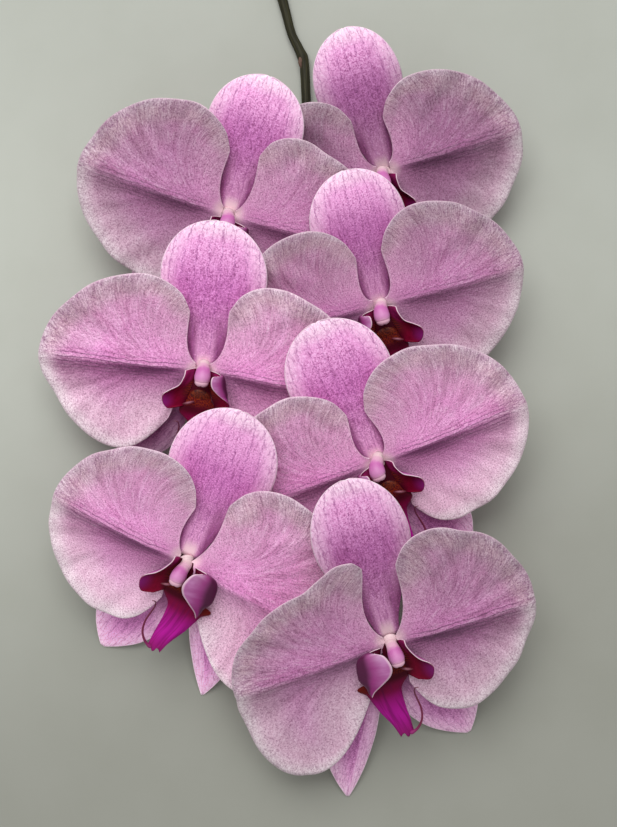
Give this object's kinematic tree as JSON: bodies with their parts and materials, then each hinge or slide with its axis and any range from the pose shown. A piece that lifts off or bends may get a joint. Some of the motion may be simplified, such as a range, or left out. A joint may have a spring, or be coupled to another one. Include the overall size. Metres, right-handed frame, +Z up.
{
  "type": "orchid spray",
  "caption": "Cut spray of a moth orchid lying face up, its broad pink-mauve blooms shingled along both sides of the stem.",
  "frame": {"origin": "on the surface that the spray lies on, under the middle of its box", "axes": "+Y along the stem towards its cut end, +Z up, out of the blooms' faces"},
  "size_m": [0.1885, 0.3222, 0.0506],
  "materials": {
    "petal": "living petal, soft satin, fine radial streaks and a pale rim",
    "sepal": "living sepal, soft satin, darker veins over pink",
    "lip": "living lip, waxy, deep crimson and magenta",
    "column": "living column, waxy pink with a pale cap",
    "stem": "living stem, dark olive, slightly waxy"
  },
  "bodies": {
    "root": {"petal_left_1": "petal", "petal_right_1": "petal", "dorsal_sepal_1": "sepal", "lateral_sepal_left_1": "sepal", "lateral_sepal_right_1": "sepal", "lip_1": "lip", "column_1": "column", "pedicel_1": "stem", "petal_left_2": "petal", "petal_right_2": "petal", "dorsal_sepal_2": "sepal", "lateral_sepal_left_2": "sepal", "lateral_sepal_right_2": "sepal", "lip_2": "lip", "column_2": "column", "pedicel_2": "stem", "petal_left_3": "petal", "petal_right_3": "petal", "dorsal_sepal_3": "sepal", "lateral_sepal_left_3": "sepal", "lateral_sepal_right_3": "sepal", "lip_3": "lip", "column_3": "column", "pedicel_3": "stem", "petal_left_4": "petal", "petal_right_4": "petal", "dorsal_sepal_4": "sepal", "lateral_sepal_left_4": "sepal", "lateral_sepal_right_4": "sepal", "lip_4": "lip", "column_4": "column", "pedicel_4": "stem", "petal_left_5": "petal", "petal_right_5": "petal", "dorsal_sepal_5": "sepal", "lateral_sepal_left_5": "sepal", "lateral_sepal_right_5": "sepal", "lip_5": "lip", "column_5": "column", "pedicel_5": "stem", "petal_left_6": "petal", "petal_right_6": "petal", "dorsal_sepal_6": "sepal", "lateral_sepal_left_6": "sepal", "lateral_sepal_right_6": "sepal", "lip_6": "lip", "column_6": "column", "pedicel_6": "stem", "petal_left_7": "petal", "petal_right_7": "petal", "dorsal_sepal_7": "sepal", "lateral_sepal_left_7": "sepal", "lateral_sepal_right_7": "sepal", "lip_7": "lip", "column_7": "column", "pedicel_7": "stem", "stem": "stem"}
  },
  "joints": []
}
